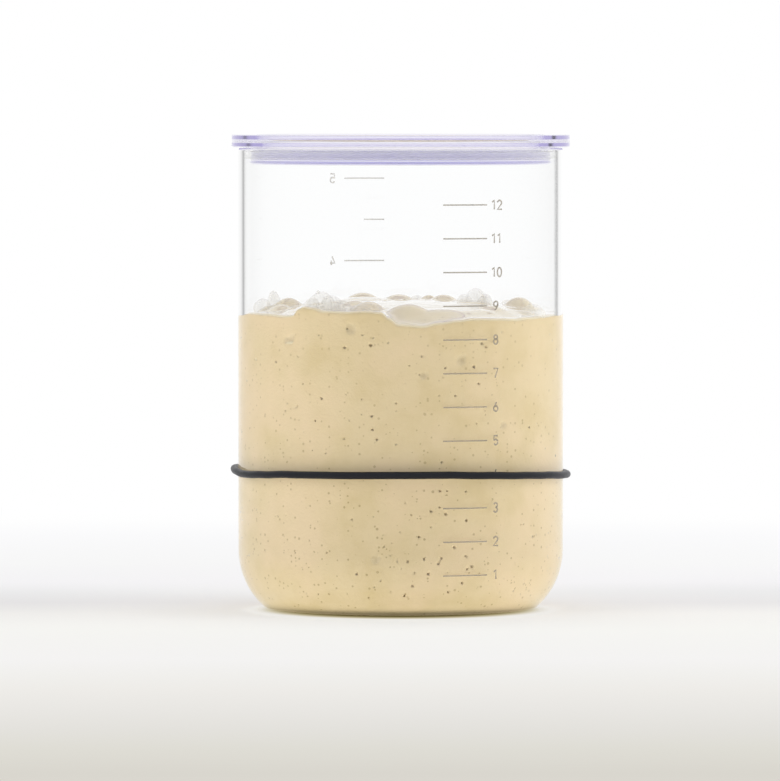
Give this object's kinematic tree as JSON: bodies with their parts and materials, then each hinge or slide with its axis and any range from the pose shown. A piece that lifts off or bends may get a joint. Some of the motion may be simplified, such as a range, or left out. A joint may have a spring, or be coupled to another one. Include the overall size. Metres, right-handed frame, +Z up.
{
  "type": "sourdough starter jar",
  "caption": "Straight-sided glass jar on a rounded heel, with a clear press-in lid and lid gasket, a rubber level band round the body and risen starter inside.",
  "frame": {"origin": "on the jar's axis, in the plane that the jar stands on", "axes": "+Z up along the jar's axis; the front, where the centimetre scale is printed, faces -Y; +X is to the right of someone who faces that scale"},
  "size_m": [0.1028, 0.1028, 0.143],
  "materials": {
    "borosilicate_glass": "clear colourless glass, fire-polished rim",
    "starter_dough": null,
    "lavender_plastic": "clear moulded plastic with a faint lavender tint",
    "clear_silicone": "translucent silicone, satin",
    "black_rubber": "black rubber, satin"
  },
  "bodies": {
    "jar": {"glass_jar": "borosilicate_glass", "starter": "starter_dough"},
    "lid": {"lid": "lavender_plastic", "lid_gasket": "clear_silicone"},
    "band": {"level_band": "black_rubber"}
  },
  "joints": [
    {"name": "lid_lift", "type": "slide", "parent": "jar", "child": "lid", "axis": [0, 0, 1], "range_m": [0, 0.06]},
    {"name": "band_slide", "type": "slide", "parent": "jar", "child": "band", "axis": [0, 0, 1], "range_m": [-0.021, 0.094]}
  ]
}
